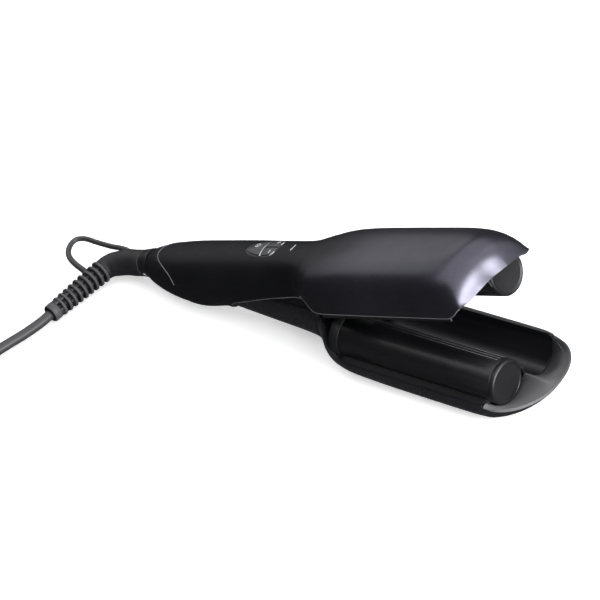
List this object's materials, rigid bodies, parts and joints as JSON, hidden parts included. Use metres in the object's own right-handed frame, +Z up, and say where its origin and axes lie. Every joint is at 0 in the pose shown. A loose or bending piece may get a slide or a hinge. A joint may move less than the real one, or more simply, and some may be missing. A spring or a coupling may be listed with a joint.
{
  "type": "hair crimper",
  "caption": "Deep wave hair crimper: hinged jaws with barrel-and-trough plates, control field, lock ring, swivel cord with hanging loop, coiled cord and plug.",
  "frame": {"origin": "on the surface the tool rests on, under the middle of the length and width of the tool without its free cord", "axes": "+X from the cord end to the jaws' tip, +Y across the jaws to the side of the lower trough, +Z up"},
  "size_m": [0.4534, 0.1881, 0.0961],
  "materials": {
    "cover": "purple-black metallic lacquer on the jaw, satin black towards the handle's rear",
    "housing_black": "satin black moulding",
    "case": "dark grey gloss",
    "lip": "smooth satin grey",
    "plate": "black ceramic coat, polished",
    "barrel_cap": "dark satin face with a lighter rim",
    "carrier": "heat-resistant moulding, unpolished",
    "heater": "as cast",
    "steel": "plain",
    "circuit": "green board",
    "field": "dark grey satin",
    "button": "satin grey with a bright front edge and a white mark",
    "light": "clear white light guide",
    "ring": "satin black with a white padlock mark",
    "brass": "turned",
    "soft_grey": "matt dark grey rubber",
    "cord": "matt dark grey sheath",
    "tie": "matt",
    "plug": "matt moulded rubber",
    "pin_metal": "nickel-tinted brass"
  },
  "bodies": {
    "handle": {"top_cover": "cover", "belly_cover": "housing_black", "rear_cap": "housing_black", "control_bezel": "field", "light_guide": "light", "control_board": "circuit", "upper_carrier": "carrier", "upper_plate": "plate", "upper_barrel_cap": "barrel_cap", "upper_heater": "heater", "carrier_screws": "steel", "hinge_pin": "steel", "hinge_spring": "steel"},
    "lower_jaw": {"lower_shell": "case", "tip_lip": "lip", "lower_carrier": "carrier", "lower_plate": "plate", "lower_barrel_cap": "barrel_cap", "lower_heater": "heater", "case_screws": "steel"},
    "power_button": {"power_button": "button"},
    "minus_button": {"minus_button": "button"},
    "plus_button": {"plus_button": "button"},
    "lock_ring": {"lock_ring": "ring"},
    "lock_bar": {"lock_bar": "steel"},
    "cord_swivel": {"swivel_stem": "brass", "cord_boot": "soft_grey", "hang_loop": "soft_grey", "strain_relief": "soft_grey", "cord": "cord", "cord_coil": "cord", "coil_tie": "tie", "plug_body": "plug", "plug_pins": "pin_metal"}
  },
  "joints": [
    {"name": "jaw_hinge", "type": "hinge", "parent": "handle", "child": "lower_jaw", "pos_m": [-0.06816, 0, 0.023], "axis": [0, -1, 0], "range_deg": [0, 15], "stiffness_Nm_per_rad": 0.8, "springref_deg": -28.65},
    {"name": "power_press", "type": "slide", "parent": "handle", "child": "power_button", "axis": [0.2588, 0, -0.9659], "range_m": [0, 0.0008], "stiffness_N_per_m": 900, "springref_m": -0.0004},
    {"name": "minus_press", "type": "slide", "parent": "handle", "child": "minus_button", "axis": [0.2588, 0, -0.9659], "range_m": [0, 0.0008], "stiffness_N_per_m": 900, "springref_m": -0.0004},
    {"name": "plus_press", "type": "slide", "parent": "handle", "child": "plus_button", "axis": [0.2588, 0, -0.9659], "range_m": [0, 0.0008], "stiffness_N_per_m": 900, "springref_m": -0.0004},
    {"name": "lock_turn", "type": "hinge", "parent": "handle", "child": "lock_ring", "pos_m": [-0.13831, 0, 0.01435], "axis": [0.9659, 0, 0.2588], "range_deg": [0, 40]},
    {"name": "lock_slide", "type": "slide", "parent": "handle", "child": "lock_bar", "axis": [0.9659, 0, 0.2588], "range_m": [0, 0.005]},
    {"name": "cord_turn", "type": "hinge", "parent": "handle", "child": "cord_swivel", "pos_m": [-0.13831, 0, 0.01435], "axis": [0.9659, 0, 0.2588], "continuous": true}
  ],
  "couplings": [
    {"joint": "lock_slide", "follows": "lock_turn", "m_per_rad": 0.007162}
  ]
}
